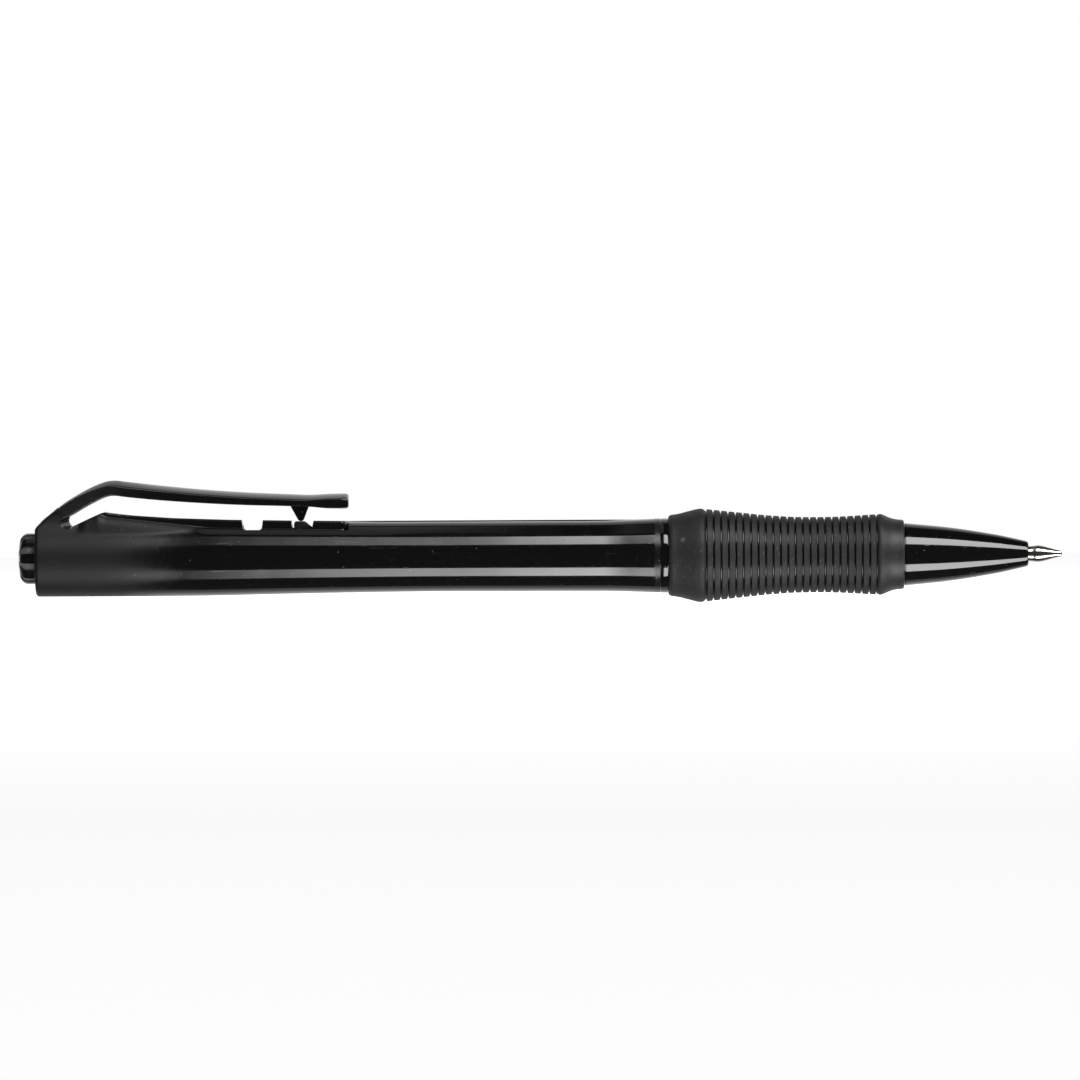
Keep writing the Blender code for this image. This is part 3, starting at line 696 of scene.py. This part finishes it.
def make_barrel(material):
    """The rear barrel with its fin and rail, and the bore, slot and windows cut in it."""
    half = np.concatenate([np.arange(0, 20, 2), np.arange(20, 50, 0.6), np.arange(50, 180, 2)])
    angles = np.radians(np.concatenate([half, 360 - half[:0:-1]]))
    body = smooth_line(BARREL_OUTLINE, 14).tolist()
    outline = np.array(arc(*BARREL_CORNER, 180, 90)[:-1] + body + BARREL_FRONT)
    fin_stations = np.arange(3, 13.4, 0.2)
    nose_stations = np.arange(RAIL_NOSE[0] - 0.4, RAIL_NOSE[1] + 0.3, 0.08)
    stations = np.unique(np.concatenate([outline[:, 0], fin_stations, nose_stations]))
    rings = []
    for station in stations:
        base = shoulder_radii(along(outline, station), station, angles)
        fillet = along(FILLETS, station)
        radii = smooth_max(base, rail_radii(station, angles), fillet)
        if station < FIN_END:
            under_fin = np.cos(angles) > 0.5
            ceiling = along(RAIL_TOP, station) / np.cos(angles)
            radii = np.where(under_fin, np.minimum(radii, ceiling), radii)
        rings.append(ring(station, radii, angles))
    rings += [ring(s, r, angles) for s, r in BARREL_BORE]
    cutters = [plate("channel", CHANNEL, CHANNEL_WIDTH), slot_cutter()]
    cutters += [window_cutter(number, *window) for number, window in enumerate(WINDOWS)]
    barrel = carve(skin("barrel_shell", rings, looped=True), cutters)
    points = point_table(barrel)
    station, across, height = points.T
    above_foot = height - along(WALL_FOOT, station)
    wall = smooth_step(above_foot / POLISH_RISE) * smooth_step((station - WALL_START) / POLISH_RUN)
    (slot_station, slot_height), slot_radius = SLOT_SIDE
    near_slot = np.hypot(station - slot_station, height - slot_height) < slot_radius + 0.6
    in_slot = near_slot & (abs(across) < RAIL_HALF_WIDTH - 0.15) & (height > 0)
    swell = smooth_step((np.hypot(across, height) - along(outline, station)) / 0.25)
    paint(barrel, "polish", np.maximum(wall, in_slot) - swell * (1 - wall))
    start, end = BARREL_BAND
    paint(barrel, "matt_band", (station > start) & (station < end))
    dress(barrel, material, "black_barrel", "rear_barrel")
    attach(barrel, "barrel")


def clip_section(top, under, half_width, crown, inset=0.0):
    """One section through the clip: a crowned top, upright sides and a flat underside, with round edges."""
    top, under = np.array(top), np.array(under)
    down = (under - top) / np.linalg.norm(under - top)
    depth = np.linalg.norm(under - top) - 2 * inset
    width = half_width - inset
    across = np.linspace(-width + CLIP_EDGE, width - CLIP_EDGE, CROWN_POINTS)
    crowned = [(u, crown * abs(u / width) ** CROWN_FULLNESS) for u in across]
    t = np.linspace(0, 1, CORNER_POINTS)[1:, None]
    corner, wall = np.array((width, crown)), np.array((width, crown + CLIP_EDGE))
    upper = (1 - t) ** 2 * crowned[-1] + 2 * t * (1 - t) * corner + t**2 * wall
    low_wall, low_corner = np.array((width, depth - CLIP_EDGE)), np.array((width, depth))
    floor = np.array((width - CLIP_EDGE, depth))
    lower = np.vstack([low_wall, (1 - t) ** 2 * low_wall + 2 * t * (1 - t) * low_corner + t**2 * floor])
    side = np.vstack([upper, lower])
    other_side = side[::-1] * (-1, 1)
    outline = np.vstack([crowned, side, other_side])
    points = [top + down * (inset + v) for u, v in outline]
    return [place(s, u, h) for (s, h), (u, _) in zip(points, outline)]


def make_clip(material):
    """The clip in two springy pieces, with the foot that presses the latch."""
    tops = smooth_line([top for top, _ in CLIP_LINE], CLIP_STEPS)
    unders = smooth_line([under for _, under in CLIP_LINE], CLIP_STEPS)
    sections = []
    for top, under in zip(tops, unders):
        width, crown = along(CLIP_HALF_WIDTH, top[0]), along(CLIP_CROWN, top[0])
        sections.append(clip_section(top, under, width, crown))
    for forward, inset in CLIP_ROUNDING:
        shift = np.array((forward, 0))
        sections.append(clip_section(tops[-1] + shift, unders[-1] + shift, width, crown, inset))
    seam = CLIP_SEAM * CLIP_STEPS
    spring = skin("clip_spring", sections[: seam + 1])
    lever = skin("clip_lever", sections[seam:])
    foot = bevelled(plate("clip_foot", FOOT, FOOT_WIDTH), 0.12)
    dress(spring, material, "black_clip", "clip_root")
    dress(lever, material, "black_clip", "clip_arm")
    dress(foot, material, "black_clip", "clip_arm")
    bend(spring)
    bend(lever)
    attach(foot, "clip_arm")


def bend(obj):
    """Bakes the piece's placement into its mesh; nothing is bent."""
    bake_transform(obj)


def make_plunger(material):
    plunger = turned("plunger_body", PLUNGER_OUTLINE + [(3.5, 0.0)], 96, looped=False)
    carve(plunger, [plate("trough", TROUGH, TROUGH_WIDTH)])
    post = bevelled(plate("latch_post", LATCH_POST, LATCH_WIDTH), 0.15)
    for piece in (plunger, post):
        dress(piece, material, "black_inner", "plunger")
        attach(piece, "plunger")


def make_latch(material):
    finger = bevelled(subdivided(plate("latch_blade", LATCH_FINGER, LATCH_WIDTH)), 0.08)
    tooth = bevelled(plate("latch_tooth", TOOTH, TOOTH_WIDTH), 0.1)
    for piece in (finger, tooth):
        dress(piece, material, "black_inner", "latch_finger")
    bend(finger)
    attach(tooth, "latch")


def subdivided(obj):
    """Cuts a plate across in small steps near its root."""
    form = bmesh.new()
    form.from_mesh(obj.data)
    root = point_table(obj)[:, 0].min()
    first, last, step = LATCH_CUTS
    for station in np.arange(root + first, root + last, step):
        geometry = list(form.verts) + list(form.edges) + list(form.faces)
        bmesh.ops.bisect_plane(form, geom=geometry, plane_co=place(station), plane_no=(1, 0, 0))
    form.to_mesh(obj.data)
    form.free()
    return obj


def make_refill(tube_material, ink_material, brass, steel):
    tube = turned("refill_sleeve", REFILL_TUBE, SMALL_SIDES)
    ink = turned("ink_charge", INK, SMALL_SIDES, looped=False)
    holder = turned("brass_holder", TIP_HOLDER, SMALL_SIDES)
    point = turned("steel_point", smooth_line(NIB_OUTLINE, 4).tolist() + NIB_INSIDE, SMALL_SIDES)
    ball_outline = arc((BALL_STATION, 0), BALL_RADIUS, 180, 0, 16)
    ball = turned("tip_ball", ball_outline, SMALL_SIDES, looped=False)
    dress(tube, tube_material, "clear_tube", "refill_tube")
    dress(ink, ink_material, "ink", "ink_column")
    dress(holder, brass, "brass", "tip_holder")
    dress(point, steel, "nib_steel", "nib")
    dress(ball, steel, "nib_steel", "writing_ball")
    for piece in (tube, ink, holder, point):
        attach(piece, "plunger")
    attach(ball, "ball")


def make_spring(material):
    """A wound wire whose end turns lie together."""
    turns = np.arange(SPRING_TURNS * SPRING_STEPS + 1) / SPRING_STEPS
    start, end = SPRING_SPAN
    closed = SPRING_CLOSED * CLOSED_PITCH
    opening, closing = (SPRING_CLOSED, start + closed), (SPRING_TURNS - SPRING_CLOSED, end - closed)
    stations = along([(0, start), opening, closing, (SPRING_TURNS, end)], turns)
    rings = []
    for turn, station in zip(turns, stations):
        angle = 2 * math.pi * turn
        around = circle(WIRE_SIDES)
        radii = SPRING_RADIUS + SPRING_WIRE * np.cos(around)
        shifts = station + SPRING_WIRE * np.sin(around)
        rings.append([place(s, r * math.sin(angle), r * math.cos(angle)) for s, r in zip(shifts, radii)])
    spring = skin("coil_spring", rings)
    dress(spring, material, "spring_steel", "return_spring")
    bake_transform(spring)


def thread_radii(station, angles):
    """The tenon's screw thread, fading out at both ends."""
    wave = abs(2 * ((station / THREAD_PITCH - angles / (2 * math.pi)) % 1) - 1)
    start, end = THREAD_SPAN
    fade = smooth_step(min(station - start, end - station))
    return TENON_RADIUS - THREAD_DEPTH * fade * np.clip(THREAD_SLOPE * wave - THREAD_CREST, 0, 1)


def make_front(material):
    """The front section: a threaded tenon, the collar, the core under the grip and the nose."""
    angles = circle(FINE_SIDES)
    start, end = THREAD_SPAN
    count = round((end - start) / THREAD_PITCH * THREAD_STEPS)
    rings = [ring(s, r, angles) for s, r in TENON_REAR]
    rings += [ring(s, thread_radii(s, angles), angles) for s in np.linspace(start, end, count)]
    outline = COLLAR_AND_CORE + smooth_line(NOSE_OUTLINE, 10).tolist() + NOSE_MOUTH
    rings += [ring(s, r, angles) for s, r in outline]
    front = skin("front_shell", rings, looped=True)
    dress(front, material, "black_nose", "front_section")
    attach(front, "front")


def rib_depths(stations):
    """How far the grip's surface lies under its crests, as a share of a groove's depth."""
    from_crest = abs((stations - RIB_FIRST + RIB_PITCH / 2) % RIB_PITCH - RIB_PITCH / 2)
    first, last = RIB_SPAN
    ribbed = (stations >= first - 1e-3) & (stations <= last + 1e-3)
    share = (2 * from_crest / RIB_PITCH - RIB_CREST) / (RIB_FLOOR - RIB_CREST)
    return np.where(ribbed, smooth_step(share), 0.0)


def make_grip(material):
    """The rubber sleeve with its rounded ribs."""
    crest = smooth_line(GRIP_CREST, 8)
    stations = np.linspace(*RIB_SPAN, RIB_COUNT * RIB_STEPS + 1)
    radii = along(crest, stations) - RIB_DEPTH * rib_depths(stations)
    outline = smooth_line(GRIP_SHOULDER, 5).tolist() + list(zip(stations, radii))
    outline += smooth_line(GRIP_FRONT, 5).tolist() + GRIP_BORE
    grip = turned("grip_sleeve", outline)
    station, across, height = point_table(grip).T
    outside = np.hypot(across, height) > GRIP_BORE[0][1] + 0.1
    # the groove share also sets the painted shade at the groove floors in the rubber's colour
    paint(grip, "groove", rib_depths(station) * outside)
    paint(grip, "smooth_end", smooth_step((station - GRIP_FRONT[1][0]) / 0.8))
    dress(grip, material, "grip_rubber", "rubber_grip")
    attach(grip, "front")


# Studio


def make_strip(name, side, spread, levels):
    """A long soft light.

    side is 1 above the pen and -1 below, and spread is its two angles from the camera.
    """
    middle, half = math.radians(sum(spread) / 2), math.radians(spread[1] - spread[0]) / 2
    reach = STRIP_DISTANCE * math.tan(half)
    edges = []
    for shift in (-reach, reach):
        toward = -STRIP_DISTANCE * math.cos(middle) + shift * math.sin(middle)
        up = STRIP_DISTANCE * math.sin(middle) + shift * math.cos(middle)
        edges.append((toward * MM, AXIS + side * up * MM))
    rear, front = levels[0][0] * MM, STRIP_FRONT * MM
    corners = [(x, *edge) for x, edge in zip((rear, rear, front, front), edges + edges[::-1])]
    mesh = bpy.data.meshes.new(name)
    mesh.from_pydata(corners, [], [(0, 1, 2, 3)])
    strip = bpy.data.objects.new(name, mesh)
    bpy.context.scene.collection.objects.link(strip)
    material = bpy.data.materials.new(name)
    material.use_nodes = True
    tree = material.node_tree
    tree.nodes.clear()
    station = add(tree, "ShaderNodeSeparateXYZ", {0: millimetres(tree)}).outputs["X"]
    strength = levels[0][1]
    for (start, low), (end, high) in zip(levels[:-1], levels[1:]):
        inputs = {"Value": station, "From Min": start, "From Max": end, "To Min": 0.0, "To Max": high - low}
        strength = maths(tree, "ADD", strength, add(tree, "ShaderNodeMapRange", inputs).outputs[0])
    glow = add(tree, "ShaderNodeEmission", {"Strength": strength})
    output = add(tree, "ShaderNodeOutputMaterial")
    tree.links.new(glow.outputs[0], output.inputs[0])
    mesh.materials.append(material)
    strip.visible_camera = False
    strip.visible_shadow = False


def make_floor():
    """A pale floor that isn't seen in the gloss, so that both lights show there."""
    size = FLOOR_REACH
    corners = [(-size, -size, 0), (size, -size, 0), (size, size, 0), (-size, size, 0)]
    mesh = bpy.data.meshes.new("floor")
    mesh.from_pydata(corners, [], [(0, 1, 2, 3)])
    floor = bpy.data.objects.new("floor", mesh)
    bpy.context.scene.collection.objects.link(floor)
    material, _, shader = new_material("floor", Roughness=1.0, Emission_Strength=FLOOR_GLOW)
    shader.inputs["Base Color"].default_value = FLOOR_COLOUR
    shader.inputs["Emission Color"].default_value = (1, 1, 1, 1)
    shader.inputs["Specular IOR Level"].default_value = 0.0
    mesh.materials.append(material)
    floor.visible_glossy = False
    floor.visible_shadow = False


def make_world():
    """White behind the pen and to the camera, and dim elsewhere."""
    world = bpy.data.worlds.new("studio")
    bpy.context.scene.world = world
    world.use_nodes = True
    tree = world.node_tree
    tree.nodes.clear()
    direction = add(tree, "ShaderNodeTexCoord").outputs["Generated"]
    parts = add(tree, "ShaderNodeSeparateXYZ", {0: direction}).outputs
    away = maths(tree, "MULTIPLY_ADD", parts["Z"], GLOW_TILT, parts["Y"])
    start, end, light = NEAR_GLOW
    near_wall = remap(tree, away, start, end, AMBIENT, light)
    start, end, light = FAR_GLOW
    far_wall = remap(tree, away, start, end, 0.0, light)
    wall = maths(tree, "ADD", near_wall, far_wall)
    seen = add(tree, "ShaderNodeLightPath").outputs["Is Camera Ray"]
    background = add(tree, "ShaderNodeBackground", {"Strength": mix_value(tree, seen, wall, 1.0)})
    background.inputs["Color"].default_value = (1, 1, 1, 1)
    tree.links.new(background.outputs[0], add(tree, "ShaderNodeOutputWorld").inputs[0])


def make_camera():
    data = bpy.data.cameras.new("camera")
    data.sensor_width = SENSOR
    data.lens = SENSOR * CAMERA_DISTANCE / FRAME_WIDTH
    data.clip_start = 0.1
    data.clip_end = 20.0
    camera = bpy.data.objects.new("camera", data)
    camera.location = place(CAMERA_STATION, -CAMERA_DISTANCE, CAMERA_HEIGHT)
    camera.rotation_euler = (math.pi / 2, CAMERA_ROLL, 0)
    bpy.context.scene.collection.objects.link(camera)
    bpy.context.scene.camera = camera


barrel_plastic = black_plastic("barrel_plastic", satin=0.55, satin_span=(10.0, 27.0), scratches=1.0)
clip_plastic = black_plastic("clip_plastic", gloss=0.1, satin=0.46, satin_span=(8.0, 24.0))
nose_plastic = black_plastic("nose_plastic", gloss=0.05)
moulding = inner_plastic()
steel = metal("point_steel", STEEL_COLOUR, roughness=0.11, turning=5.0)
wire = metal("spring_wire", WIRE_COLOUR, roughness=0.22, turning=2.0)
brass = metal("holder_brass", BRASS_COLOUR, roughness=0.2, turning=4.0)

make_button(button_plastic())
make_barrel(barrel_plastic)
make_clip(clip_plastic)
make_plunger(moulding)
make_latch(moulding)
make_refill(milky_tube(), ink_paste(), brass, steel)
make_spring(wire)
make_front(nose_plastic)
make_grip(grip_rubber())

make_strip("upper_light", 1, STRIP_ANGLES, UPPER_LIGHT)
make_strip("lower_light", -1, STRIP_ANGLES, LOWER_LIGHT)
make_strip("top_fill", 1, FILL_ANGLES, FILL_LIGHT)
make_floor()
make_world()
make_camera()
bpy.context.scene.view_settings.view_transform = "Standard"
